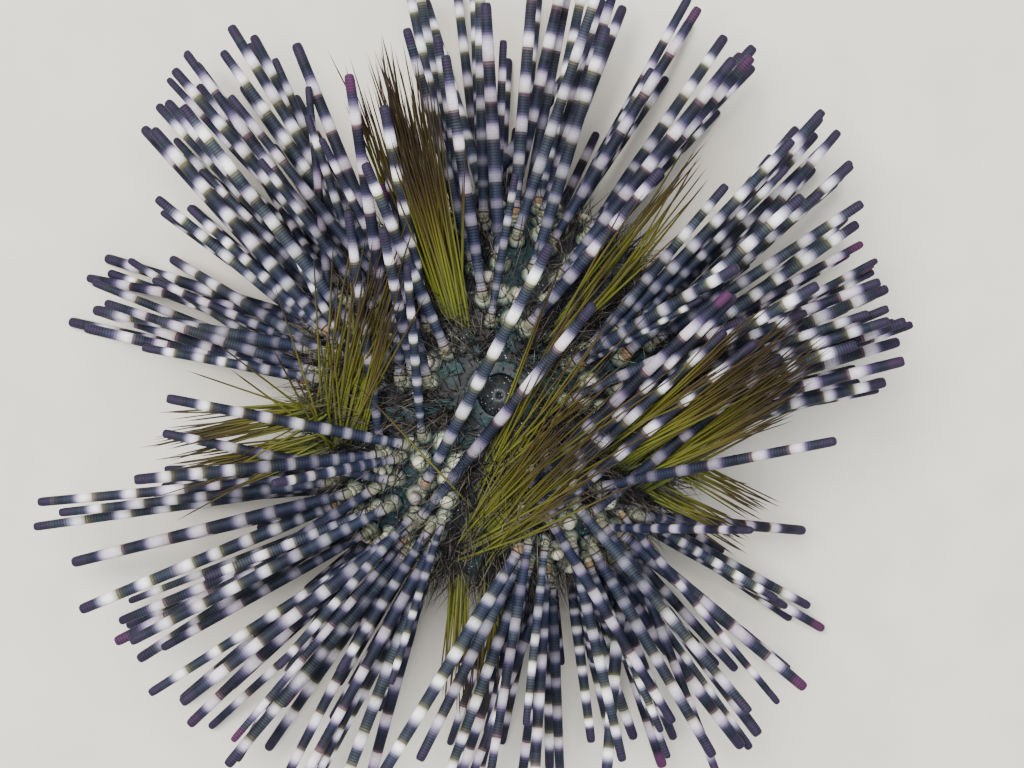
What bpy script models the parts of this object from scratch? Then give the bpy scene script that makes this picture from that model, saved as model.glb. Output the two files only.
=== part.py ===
"""A banded sea urchin at life size, lying on its lower spines as it does when the tide leaves it on a beach.

The test is divided like the real one into five wide sectors, which carry the banded spines, and five narrow ones,
which carry tufts of fine needles. A cap of small plates with a soft cone closes the top, and a ring of skin with
five teeth closes the bottom.
"""

import math
import random
from dataclasses import dataclass

import bmesh
import bpy
import numpy as np
from mathutils import Matrix, Vector

# The test is an egg flattened from above, and its widest ring stands at waist height over the floor.
TEST_RADIUS = 0.034
WAIST_HEIGHT = 0.022
TEST_RISE = 0.019
TEST_DROP = 0.0145

# Neighbours keep this much room between their faces.
GAP = 0.0003

# Azimuths run from +X to +Y, in degrees. The wide sectors lie midway between the narrow ones.
NARROW_AZIMUTHS = (46, 118, 190, 262, 334)
NARROW_HALF = 10
WIDE_HALF = 26

# Heading of the banded spines across each wide sector, from its clockwise edge to the other.
FANS = {
    82: (48, 61, 79, 92, 100),
    154: (119, 130, 138, 143, 168),
    226: (181, 196, 212, 227, 251),
    298: (251, 270, 293, 316, 332),
    10: (13, 19, 28, 42, 49),
}
ROWS = 11
FIRST_ROW = 0.0125
ROW_STEP = 0.0053
COLUMN_STEP = 0.0046
EDGE_MARGIN = 0.0024
TOP_RISE = 14
LOWEST_RISE = -26
SPINE_THICKNESS = (0.0022, 0.0027)
SPINE_LONGEST = 0.057
LENGTH_BY_ROW = (0.038, 0.043, 0.048, 0.053, 0.057, 0.057, 0.057, 0.057, 0.044, 0.033, 0.021)
UNDER_ROW = 8
UNDER_THINNESS = 0.84
YOUNG_SHARE = 0.12
YOUNG_LENGTH = 0.70
YOUNG_THINNESS = 0.75
ROOT_SPREAD = 0.97
ROW_WEAVE = 0.382

# Near the top the middle of a wide sector is bare skin.
BARE_UNTIL = 0.027
BARE_HALF = 0.0022

# How far the tips reach from the axis of the test: azimuth and distance.
REACH = (
    (-9, 0.053), (-3, 0.060), (2, 0.068), (8, 0.074), (25, 0.070), (34, 0.076), (46, 0.078), (60, 0.080),
    (72, 0.076), (82, 0.079), (110, 0.080), (127, 0.082), (138, 0.086), (147, 0.082), (166, 0.077),
    (170, 0.083), (176, 0.066), (187, 0.074), (192, 0.088), (202, 0.089), (213, 0.084), (235, 0.084),
    (250, 0.079), (262, 0.076), (282, 0.071), (293, 0.070), (302, 0.077), (312, 0.080), (322, 0.075),
    (332, 0.070), (342, 0.060), (351, 0.053),
)

# Banded spines that have fallen across the fans: azimuth, distance down the test, heading, rise, length, thickness.
CROSSING = (
    (237, 0.0262, 51, 24, 0.052, 0.0025),
    (230, 0.0200, 62, 24, 0.050, 0.0025),
    (203, 0.0225, 97, 16, 0.042, 0.0021),
    (208, 0.0150, 94, 24, 0.032, 0.0019),
    (277, 0.0225, 43, 12, 0.050, 0.0021),
    (284, 0.0165, 44, 15, 0.050, 0.0024),
    (290, 0.0225, 40, 10, 0.048, 0.0024),
    (300, 0.0175, 46, 13, 0.046, 0.0022),
    (306, 0.0265, 40, 8, 0.044, 0.0023),
    (278, 0.0290, 243, 12, 0.040, 0.0024),
    (101, 0.0262, 99, 16, 0.038, 0.0022),
)

# Tufts of needles: azimuth, from and to down the test, heading, rise, length, count.
TUFTS = (
    (118, 0.012, 0.036, 101, 32, 0.037, 40),
    (190, 0.022, 0.038, 62, 30, 0.034, 28),
    (190, 0.032, 0.046, 194, 2, 0.030, 18),
    (262, 0.010, 0.034, 50, 24, 0.036, 42),
    (262, 0.036, 0.044, 267, -4, 0.022, 10),
    (334, 0.018, 0.038, 38, 26, 0.035, 36),
    (334, 0.034, 0.046, 330, -4, 0.019, 10),
    (46, 0.010, 0.036, 54, 28, 0.030, 24),
) + tuple((azimuth, 0.047, 0.066, azimuth, -16, 0.014, 6) for azimuth in NARROW_AZIMUTHS)
NEEDLE_THICKNESS = 0.0006
TUFT_THICKNESS = 0.0036
TUFT_CORE = 10

# A spine stands on a short neck, square to the test, and leaves it at the ball joint.
NECK_HEIGHT = 0.0015
NECK_DEPTH = 0.0025
NECK_SHARE = 0.7
NEEDLE_DEPTH = 0.0015
TIP_SHARE = 0.75
SPINE_LIFT = 0.17
NEEDLE_LIFT = 0.10
CEILING = 0.056
FOOT_SHARE = 0.35

# Room between the axes of two spines beyond their radii, in one sector and across two.
SNUG = 0.0001
CLEAR = 0.00055

SPINE_SIDES = 5
NEEDLE_SIDES = 3
FACETS = 48
CAP_FACETS = 24
CONE_FACETS = 15

# The cap at the top with its cone, and the skin round the mouth with its teeth.
CAP_RADIUS = 0.0062
CAP_DEPTH = 0.0050
CAP_LIP = 0.0006
DISH_DEPTH = 0.0012
CONE_RADIUS = 0.0034
CONE_HEIGHT = 0.0032
MOUTH_RADIUS = 0.0102
MOUTH_DEPTH = 0.0042
LIP_DROP = 0.0012
JAW_RADIUS = 0.0038
JAW_ROOF = 0.0008
TOOTH_HEIGHT = 0.0065
TOOTH_POINT = 0.0006


@dataclass
class Spine:
    """A straight spine: its sector, where it stands on the test, and how it points."""
    sector: int
    place: np.ndarray
    normal: np.ndarray
    way: np.ndarray
    length: float
    radius: float

    @property
    def joint(self):
        return self.place + self.normal * NECK_HEIGHT


def unit(vectors):
    return vectors / np.maximum(np.linalg.norm(vectors, axis=-1, keepdims=True), 1e-9)


def half_height(tilt):
    return TEST_RISE if tilt < math.pi / 2 else TEST_DROP


def meridian(steps=720):
    """Distances down the test from its top, and the tilt from straight up at each."""
    tilts = [math.pi * step / steps for step in range(steps + 1)]
    distances = [0.0]
    for tilt, following in zip(tilts, tilts[1:]):
        middle = (tilt + following) / 2
        slope = math.hypot(TEST_RADIUS * math.cos(middle), half_height(middle) * math.sin(middle))
        distances.append(distances[-1] + slope * (following - tilt))
    return distances, tilts


DISTANCES, TILTS = meridian()


def tilt_at(down):
    return float(np.interp(down, DISTANCES, TILTS))


def on_test(down, azimuth):
    """The point and outward normal at a distance down the test from its top."""
    tilt, turn = tilt_at(down), math.radians(azimuth)
    height = half_height(tilt)
    out = np.array([math.cos(turn), math.sin(turn), 0.0])
    up = np.array([0.0, 0.0, 1.0])
    place = out * TEST_RADIUS * math.sin(tilt) + up * (WAIST_HEIGHT + height * math.cos(tilt))
    return place, unit(out * math.sin(tilt) / TEST_RADIUS + up * math.cos(tilt) / height)


def pointing(heading, rise):
    turn, lift = math.radians(heading), math.radians(rise)
    return np.array([math.cos(turn) * math.cos(lift), math.sin(turn) * math.cos(lift), math.sin(lift)])


def level_length(place, heading):
    """Level distance from a root to where its tip meets the outline of the animal."""
    azimuths, reaches = zip(*REACH)
    first = azimuths[0]
    aim = pointing(heading, 0)[:2]
    along = place[:2] @ aim
    distance = SPINE_LONGEST
    for _ in range(6):
        tip = place[:2] + aim * distance
        azimuth = math.degrees(math.atan2(tip[1], tip[0]))
        reach = float(np.interp((azimuth - first) % 360 + first, azimuths, reaches))
        distance = -along + math.sqrt(max(along ** 2 - place[:2] @ place[:2] + reach ** 2, 0))
    return distance


def fan_spines(draw):
    """The banded spines in rows down each wide sector, long at the waist and short under it."""
    made = []
    for sector, headings in FANS.items():
        for row in range(ROWS):
            down = FIRST_ROW + row * ROW_STEP
            ring = TEST_RADIUS * math.sin(tilt_at(down))
            width = ring * math.radians(2 * WIDE_HALF) - 2 * EDGE_MARGIN
            count = max(2, int(width / COLUMN_STEP) + 1)
            for column in range(count):
                across = -1 + 2 * column / (count - 1)
                if down < BARE_UNTIL and abs(across) * width / 2 < BARE_HALF:
                    continue
                loose = draw.uniform(-0.2, 0.2) * COLUMN_STEP * (1 - abs(across))
                sideways = across * width / 2 * ROOT_SPREAD + loose
                here = down + draw.uniform(-0.2, 0.2) * ROW_STEP
                place, normal = on_test(here, sector + math.degrees(sideways / ring))
                # Rows take turns to fill the spaces between the headings of their neighbours.
                woven = across + ((row * ROW_WEAVE) % 1 - 0.5) * 2 / (count - 1)
                heading = np.interp(woven, (-1, -0.5, 0, 0.5, 1), headings) + draw.gauss(0, 1.5)
                rise = TOP_RISE + (LOWEST_RISE - TOP_RISE) * row / (ROWS - 1) + draw.gauss(0, 2.5)
                thickness = draw.uniform(*SPINE_THICKNESS)
                length = LENGTH_BY_ROW[row] * draw.uniform(0.86, 1.0)
                if row < UNDER_ROW:
                    level = level_length(place, heading) * draw.uniform(0.9, 1.0)
                    length = min(length, level / math.cos(math.radians(rise)))
                else:
                    thickness *= UNDER_THINNESS
                if draw.random() < YOUNG_SHARE:
                    length, thickness = length * YOUNG_LENGTH, thickness * YOUNG_THINNESS
                aim = pointing(heading, rise)
                made.append(Spine(sector, place, normal, aim, length, thickness / 2))
    return made


def crossing_spines():
    made = []
    for azimuth, down, heading, rise, length, thickness in CROSSING:
        sector = min(FANS, key=lambda wide: abs((azimuth - wide + 180) % 360 - 180))
        made.append(Spine(sector, *on_test(down, azimuth), pointing(heading, rise), length, thickness / 2))
    return made


def needles(draw):
    """The fine needles, rooted on both sides of each narrow sector and leaning together in tufts."""
    made = []
    for azimuth, start, end, heading, rise, length, count in TUFTS:
        for number in range(count):
            down = start + (end - start) * (number + 0.5) / count
            ring = TEST_RADIUS * math.sin(tilt_at(down))
            half = ring * math.radians(NARROW_HALF) - NEEDLE_THICKNESS - GAP
            side = 1 if number % 2 else -1
            place, normal = on_test(down, azimuth + math.degrees(side * half * draw.uniform(0.2, 1) / ring))
            aim = pointing(heading + draw.gauss(0, 5), rise + draw.gauss(0, 5))
            long = length * draw.uniform(0.75, 1.1)
            made.append(Spine(azimuth, place, normal, aim, long, NEEDLE_THICKNESS / 2))
    return made


def reserved():
    """Stout stand-ins for the cone and the tufts, which the banded spines leave room for."""
    up = np.array([0.0, 0.0, 1.0])
    foot = np.array([0.0, 0.0, WAIST_HEIGHT + TEST_RISE - CAP_DEPTH])
    made = [Spine(0, foot, up, up, CAP_DEPTH + CONE_HEIGHT, CONE_RADIUS)]
    for azimuth, start, end, heading, rise, length, count in TUFTS:
        cores = count // TUFT_CORE
        for number in range(cores):
            down = start + (end - start) * (number + 0.5) / cores
            aim = pointing(heading, rise)
            made.append(Spine(azimuth, *on_test(down, azimuth), aim, length * 0.8, TUFT_THICKNESS / 2))
    return made


def passing(joint, arm, first, second):
    """Where pairs of spines pass nearest: the share along each, the step between them and its length."""
    a, b, between = arm[first], arm[second], joint[first] - joint[second]
    aa, bb, ab = (a * a).sum(-1), (b * b).sum(-1), (a * b).sum(-1)
    start_a, start_b = (a * between).sum(-1), (b * between).sum(-1)
    s = np.clip((ab * start_b - start_a * bb) / np.maximum(aa * bb - ab * ab, 1e-18), 0, 1)
    t = np.clip((ab * s + start_b) / bb, 0, 1)
    s = np.clip((ab * t - start_a) / aa, 0, 1)
    apart = between + s[:, None] * a - t[:, None] * b
    return s, t, apart, np.linalg.norm(apart, axis=1)


def columns(spines):
    """The spines as arrays: joints, normals, ways, lengths, radii and sectors."""
    return (np.array([spine.joint for spine in spines]), np.array([spine.normal for spine in spines]),
            np.array([spine.way for spine in spines]), np.array([spine.length for spine in spines]),
            np.array([spine.radius for spine in spines]), np.array([spine.sector for spine in spines]))


def settle(spines, rounds, fixed, lift):
    """Turns the spines about their joints until they lie beside each other. The first ones stay fixed."""
    joint, normal, aim, length, radius, sector = columns(spines)
    way = aim.copy()
    moving = (np.arange(len(spines)) >= fixed).astype(float)
    every, other = np.triu_indices(len(spines), 1)
    free = moving[every] + moving[other] > 0
    every, other = every[free], other[free]
    for count in range(rounds):
        arm = way * length[:, None]
        if count % 12 == 0:
            close = passing(joint, arm, every, other)[3] < 0.008
            first, second = every[close], other[close]
            room = np.where(sector[first] == sector[second], SNUG, CLEAR)
            need = radius[first] + radius[second] + room
        s, t, apart, distance = passing(joint, arm, first, second)
        hit = (distance < need) & ((s > 0.04) | (t > 0.04))
        i, j = first[hit], second[hit]
        out_i, out_j = np.maximum(s[hit], 0.08) * length[i], np.maximum(t[hit], 0.08) * length[j]
        line = unit(apart[hit])
        # Two that lie in one line part along what is square to both.
        blind = distance[hit] < 1e-5
        line[blind] = unit(np.cross(arm[i], arm[j]))[blind]
        # The slimmer one, or the one met nearer its tip, gives way more.
        ease_i, ease_j = moving[i] / (out_i * radius[i]), moving[j] / (out_j * radius[j])
        depth = (need[hit] - distance[hit]) / (ease_i + ease_j)
        push, times = np.zeros_like(way), np.zeros(len(spines))
        np.add.at(push, i, line * (depth * ease_i / out_i)[:, None])
        np.add.at(push, j, -line * (depth * ease_j / out_j)[:, None])
        np.add.at(times, i, 1)
        np.add.at(times, j, 1)
        way += push / np.maximum(times * 0.6, 1)[:, None]
        recall = 0.03 * max(0.0, 1 - count / (rounds * 0.7))
        way = unit(way + (aim - way) * (recall * moving)[:, None])
        # None leans into the test, through the floor or above the ceiling.
        way += normal * (np.maximum(lift - (way * normal).sum(-1), 0) * moving)[:, None]
        tip = joint[:, 2] + way[:, 2] * length
        way[:, 2] += np.maximum(radius * FOOT_SHARE - tip, 0) * moving / length
        way[:, 2] -= np.maximum(tip - CEILING, 0) * moving / length
        way = np.round(unit(way), 7)
    for spine, turned_way in zip(spines, way):
        spine.way = turned_way
    return spines


def pruned(spines, fixed, slack):
    """Leaves out the spines that found no room, the most crowded first."""
    joint, normal, way, length, radius, sector = columns(spines)
    i, j = np.triu_indices(len(spines), 1)
    s, t, apart, distance = passing(joint, way * length[:, None], i, j)
    room = np.where(sector[i] == sector[j], 0, CLEAR - SNUG)
    depth = radius[i] + radius[j] + room - distance
    hit = (depth > slack) & ((s > 0.04) | (t > 0.04)) & (j >= fixed)
    i, j, depth = i[hit], j[hit], depth[hit]
    gone = set()
    while len(i):
        load = np.zeros(len(spines))
        np.add.at(load, i, depth)
        np.add.at(load, j, depth)
        load[:fixed] = 0
        worst = int(np.argmax(load))
        gone.add(worst)
        rest = (i != worst) & (j != worst)
        i, j, depth = i[rest], j[rest], depth[rest]
    return [spine for number, spine in enumerate(spines) if number not in gone]


def trimmed(spines, shortest=0.004):
    """Ends the spines that still pass too near one of another sector just short of it."""
    joint, normal, way, length, radius, sector = columns(spines)
    i, j = np.triu_indices(len(spines), 1)
    i, j = i[sector[i] != sector[j]], j[sector[i] != sector[j]]
    s, t, apart, distance = passing(joint, way * length[:, None], i, j)
    for pair in np.flatnonzero(distance < radius[i] + radius[j] + CLEAR - 2 * SNUG):
        a, b = i[pair], j[pair]
        shorter = (1 - s[pair]) * radius[a] < (1 - t[pair]) * radius[b]
        spine, share = (spines[a], s[pair]) if shorter else (spines[b], t[pair])
        room = 2 * (radius[a] + radius[b])
        spine.length = min(spine.length, share * spine.length - room)
    return [spine for spine in spines if spine.length > shortest]


def grown_spines():
    """All the spines of the animal, banded ones first, each clear of its neighbours."""
    draw = random.Random(11)
    room, crossing = reserved(), crossing_spines()
    fixed = len(room) + len(crossing)
    banded = room + crossing + fan_spines(draw)
    for rounds, slack in ((260, 0.0004), (160, 0.0002)):
        banded = pruned(settle(banded, rounds, fixed, SPINE_LIFT), fixed, slack)
    banded = banded[len(room):]
    grown = banded + needles(draw)
    for rounds, slack in ((200, 0.0003), (120, 0.0001)):
        grown = pruned(settle(grown, rounds, len(banded), NEEDLE_LIFT), len(banded), slack)
    for _ in range(4):
        grown = trimmed(grown)
    return grown


def clear_scene():
    for thing in list(bpy.data.objects):
        bpy.data.objects.remove(thing, do_unlink=True)


def new_collection(name):
    made = bpy.data.collections.new(name)
    bpy.context.scene.collection.children.link(made)
    return made


def material(name, color, roughness):
    made = bpy.data.materials.new(name)
    made.use_nodes = True
    shader = made.node_tree.nodes["Principled BSDF"]
    shader.inputs["Base Color"].default_value = (*color, 1)
    shader.inputs["Roughness"].default_value = roughness
    return made


def turned(outline, facets, turn):
    """A mesh turned about Z from radius and height points that run from the top down."""
    mesh = bpy.data.meshes.new("outline")
    lines = [(number, number + 1) for number in range(len(outline) - 1)]
    mesh.from_pydata([(radius, 0, height) for radius, height in outline], lines, [])
    thing = bpy.data.objects.new("outline", mesh)
    tools.objects.link(thing)
    screw = thing.modifiers.new("Turn", "SCREW")
    screw.steps = screw.render_steps = facets
    screw.use_merge_vertices = True
    screw.merge_threshold = 0.00001
    made = finished_mesh(thing)
    made.transform(Matrix.Rotation(math.radians(turn), 4, "Z"))
    bpy.data.objects.remove(thing, do_unlink=True)
    return made


def finished_mesh(thing):
    """The mesh of an object with its modifiers applied."""
    seen = thing.evaluated_get(bpy.context.evaluated_depsgraph_get())
    return bpy.data.meshes.new_from_object(seen)


def cut_away(shape, point, outward):
    """Cuts off what lies outward of a plane and closes the cut."""
    everything = shape.verts[:] + shape.edges[:] + shape.faces[:]
    cut = bmesh.ops.bisect_plane(shape, geom=everything, dist=0.000001, plane_co=point, plane_no=outward,
                                 clear_outer=True)
    rim = [piece for piece in cut["geom_cut"] if isinstance(piece, bmesh.types.BMEdge)]
    if rim:
        bmesh.ops.edgeloop_fill(shape, edges=rim)


def cut_sector(mesh, azimuth, half):
    """Keeps the wedge of a turned mesh within half of the azimuth, less half a gap on each side."""
    shape = bmesh.new()
    shape.from_mesh(mesh)
    for side in (-1, 1):
        edge = math.radians(azimuth + side * half)
        outward = Vector((-math.sin(edge), math.cos(edge), 0)) * side
        cut_away(shape, -outward * GAP / 2, outward)
    bmesh.ops.recalc_face_normals(shape, faces=shape.faces)
    shape.to_mesh(mesh)
    shape.free()
    return mesh


def spine_object(spine, sides, depth):
    """A tapered prism along the spine, with its foot drawn down through its neck into the test."""
    joint, way, normal = Vector(spine.joint), Vector(spine.way), Vector(spine.normal)
    shape = bmesh.new()
    bmesh.ops.create_cone(shape, cap_ends=True, segments=sides, radius1=spine.radius,
                          radius2=spine.radius * TIP_SHARE, depth=spine.length)
    along = way.to_track_quat("Z", "Y").to_matrix().to_4x4()
    halfway = Matrix.Translation(joint + way * spine.length / 2)
    bmesh.ops.transform(shape, matrix=halfway @ along, verts=shape.verts)
    shape.normal_update()
    foot = min(shape.faces, key=lambda face: (face.calc_center_median() - joint).length)
    drawn = bmesh.ops.extrude_discrete_faces(shape, faces=[foot])["faces"]
    rim = drawn[0].verts[:]
    square = way.rotation_difference(normal).to_matrix()
    bmesh.ops.rotate(shape, cent=joint, matrix=square, verts=rim)
    bmesh.ops.scale(shape, vec=(NECK_SHARE,) * 3, space=Matrix.Translation(-joint), verts=rim)
    bmesh.ops.translate(shape, vec=-normal * (NECK_HEIGHT + depth), verts=rim)
    bmesh.ops.recalc_face_normals(shape, faces=shape.faces)
    mesh = bpy.data.meshes.new("spine")
    shape.to_mesh(mesh)
    shape.free()
    thing = bpy.data.objects.new("spine", mesh)
    growth.objects.link(thing)
    return thing


def largest_surface(shape):
    """Drops every closed surface of a mesh but the largest."""
    left, islands = set(shape.faces), []
    while left:
        island, edge_of = set(), [next(iter(left))]
        while edge_of:
            face = edge_of.pop()
            if face in island:
                continue
            island.add(face)
            edge_of.extend(near for edge in face.edges for near in edge.link_faces if near not in island)
        left -= island
        islands.append(island)
    islands.sort(key=lambda island: sum(face.calc_area() for face in island))
    for island in islands[:-1]:
        bmesh.ops.delete(shape, geom=list(island), context="FACES")


def with_spines(mesh, spines, sides, depth):
    """Fuses spines to a sector and levels what would pass through the floor."""
    trunk = bpy.data.objects.new("trunk", mesh)
    tools.objects.link(trunk)
    grown = [spine_object(spine, sides, depth) for spine in spines]
    union = trunk.modifiers.new("Fuse", "BOOLEAN")
    union.operation = "UNION"
    union.solver = "MANIFOLD"
    union.operand_type = "COLLECTION"
    union.collection = growth
    fused = finished_mesh(trunk)
    for thing in [trunk, *grown]:
        bpy.data.objects.remove(thing, do_unlink=True)
    shape = bmesh.new()
    shape.from_mesh(fused)
    cut_away(shape, Vector((0, 0, 0)), Vector((0, 0, -1)))
    largest_surface(shape)
    bmesh.ops.dissolve_limit(shape, angle_limit=math.radians(1), verts=shape.verts, edges=shape.edges)
    bmesh.ops.triangulate(shape, faces=shape.faces)
    shape.to_mesh(fused)
    shape.free()
    return fused


def place(name, mesh, finish):
    thing = bpy.data.objects.new(name, mesh)
    urchin.objects.link(thing)
    mesh.materials.clear()
    mesh.materials.append(finish)
    return thing


def test_point(tilt):
    """Radius and height of the test at a tilt in degrees from straight up."""
    angle = math.radians(tilt)
    return TEST_RADIUS * math.sin(angle), WAIST_HEIGHT + half_height(angle) * math.cos(angle)


def tilt_of_rim(radius):
    return math.degrees(math.asin(radius / TEST_RADIUS))


def sector_outline(steps=12):
    """The outline of the test from the seat of the cap to the seat of the mouth."""
    seat, throat = CAP_RADIUS + GAP, MOUTH_RADIUS + GAP
    first, last = tilt_of_rim(seat), 180 - tilt_of_rim(throat)
    curve = [test_point(first + (last - first) * step / steps) for step in range(steps + 1)]
    seat_height, throat_height = curve[0][1] - CAP_DEPTH - GAP, curve[-1][1] + MOUTH_DEPTH + GAP
    return [(0, seat_height), (seat, seat_height), *curve, (throat, throat_height), (0, throat_height)]


clear_scene()
urchin = new_collection("banded sea urchin")
tools = new_collection("outlines")
growth = new_collection("spines of one sector")

banded_finish = material("banded spines", (0.16, 0.13, 0.20), 0.5)
needle_finish = material("fine spines", (0.17, 0.14, 0.03), 0.45)
skin_finish = material("skin", (0.03, 0.05, 0.06), 0.6)
tooth_finish = material("teeth", (0.80, 0.76, 0.66), 0.4)

spines = grown_spines()
sectors = [(f"interambulacrum_{number}", azimuth, WIDE_HALF, banded_finish, SPINE_SIDES, NECK_DEPTH)
           for number, azimuth in enumerate(FANS, 1)]
sectors += [(f"ambulacrum_{number}", azimuth, NARROW_HALF, needle_finish, NEEDLE_SIDES, NEEDLE_DEPTH)
            for number, azimuth in enumerate(NARROW_AZIMUTHS, 1)]
for name, azimuth, half, finish, sides, depth in sectors:
    trunk = turned(sector_outline(), FACETS, azimuth)
    own = [spine for spine in spines if spine.sector == azimuth]
    place(name, with_spines(cut_sector(trunk, azimuth, half), own, sides, depth), finish)

# The cap of small plates, with the soft cone standing in its dish.
cap_top = test_point(tilt_of_rim(CAP_RADIUS))[1]
dish = cap_top - DISH_DEPTH
dish_radius = CONE_RADIUS + GAP
cap = turned([(0, dish), (dish_radius, dish), (dish_radius, cap_top + CAP_LIP), (CAP_RADIUS, cap_top),
              (CAP_RADIUS, cap_top - CAP_DEPTH), (0, cap_top - CAP_DEPTH)], CAP_FACETS, 0)
place("apical_disc", cap, skin_finish)
cone = turned([(0, cap_top + CONE_HEIGHT), (CONE_RADIUS * 0.4, cap_top + CONE_HEIGHT - 0.0002),
               (CONE_RADIUS * 0.8, cap_top + CONE_HEIGHT * 0.45), (CONE_RADIUS, dish + GAP), (0, dish + GAP)], CONE_FACETS, 0)
place("anal_cone", cone, skin_finish)

# The skin round the mouth, and the five teeth that hang from their socket in it.
sill = test_point(180 - tilt_of_rim(MOUTH_RADIUS))[1]
roof = sill + MOUTH_DEPTH
socket = roof - JAW_ROOF
lip_radius = JAW_RADIUS + GAP
lips = turned([(0, roof), (MOUTH_RADIUS, roof), (MOUTH_RADIUS, sill), (MOUTH_RADIUS * 0.7, sill - LIP_DROP * 0.7),
               (lip_radius, sill - LIP_DROP), (lip_radius, socket), (0, socket)], CAP_FACETS, 0)
place("peristome", lips, skin_finish)
gum = socket - GAP
for number in range(1, 6):
    azimuth = 72 * number
    jaw = turned([(0, gum), (JAW_RADIUS, gum), (JAW_RADIUS * 0.8, sill - LIP_DROP),
                  (TOOTH_POINT, gum - TOOTH_HEIGHT), (0, gum - TOOTH_HEIGHT)], CAP_FACETS, azimuth)
    place(f"tooth_{number}", cut_sector(jaw, azimuth, 36), tooth_finish)

# The origin stands at the middle of the animal's outline, on the floor.
corners = np.array([corner.co[:] for thing in urchin.objects for corner in thing.data.vertices])
middle = (corners.min(axis=0) + corners.max(axis=0)) / 2
for thing in urchin.objects:
    thing.data.transform(Matrix.Translation((-middle[0], -middle[1], 0)))
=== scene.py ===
"""The finished look of a life-size banded sea urchin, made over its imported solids."""

import math
import random
from dataclasses import dataclass
from itertools import product

import bpy
import numpy as np
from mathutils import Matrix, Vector, noise


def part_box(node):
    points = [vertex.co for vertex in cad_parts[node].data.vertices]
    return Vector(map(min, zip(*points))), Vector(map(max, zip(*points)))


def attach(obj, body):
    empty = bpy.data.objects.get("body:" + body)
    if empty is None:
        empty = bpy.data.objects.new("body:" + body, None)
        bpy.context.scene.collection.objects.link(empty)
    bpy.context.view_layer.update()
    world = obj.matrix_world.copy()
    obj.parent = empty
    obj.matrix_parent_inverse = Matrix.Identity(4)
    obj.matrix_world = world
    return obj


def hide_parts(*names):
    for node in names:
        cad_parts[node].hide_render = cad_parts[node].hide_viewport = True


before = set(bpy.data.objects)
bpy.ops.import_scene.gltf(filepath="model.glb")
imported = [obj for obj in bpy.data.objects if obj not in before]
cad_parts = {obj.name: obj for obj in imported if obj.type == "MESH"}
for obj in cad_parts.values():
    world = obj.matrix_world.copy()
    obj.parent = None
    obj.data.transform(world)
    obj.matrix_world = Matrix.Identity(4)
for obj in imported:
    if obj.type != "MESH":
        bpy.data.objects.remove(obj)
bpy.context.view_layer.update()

# The test: a thin shell of calcite under a film of dark skin, an egg flattened from above, with a seat on top
# for the cap of plates and one below for the mouth. The narrow zones, which carry the needles, stand a little
# proud, and the middle of each wide zone is bare and teal.
TEST_RADIUS = 0.034
WAIST_HEIGHT = 0.022
TEST_RISE = 0.019
TEST_DROP = 0.0145
TEST_SIDES = 144
TEST_RINGS = 98
GAP = 0.0003
NARROW_AT = (46, 118, 190, 262, 334)
WIDE_AT = (82, 154, 226, 298, 10)
NARROW_HALF = 10
CAP_RADIUS = 0.0062
CAP_SEAT = 0.0016
MOUTH_RADIUS = 0.0102
MOUTH_SEAT = 0.004
SWELL_HEIGHT = 0.0003
FURROW_DEPTH = 0.0002
BARE_DEPTH = 0.00025
COARSE_GRAIN = 0.00022
FINE_GRAIN = 0.00012
BARE_FROM = 0.008
RELIEF_FROM = 0.0115

# The widths of the bare strips, in degrees at one metre from the axis.
WIDE_BARE = 0.16
NARROW_BARE = 0.1

mouth_low, mouth_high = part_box("peristome")
middle = (mouth_low + mouth_high) / 2
axis = np.array([middle.x, middle.y, 0.0])


def opaque(color):
    """A colour with its alpha, as a socket takes it."""
    return color if isinstance(color, Shade) else (*color, 1)


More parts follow.
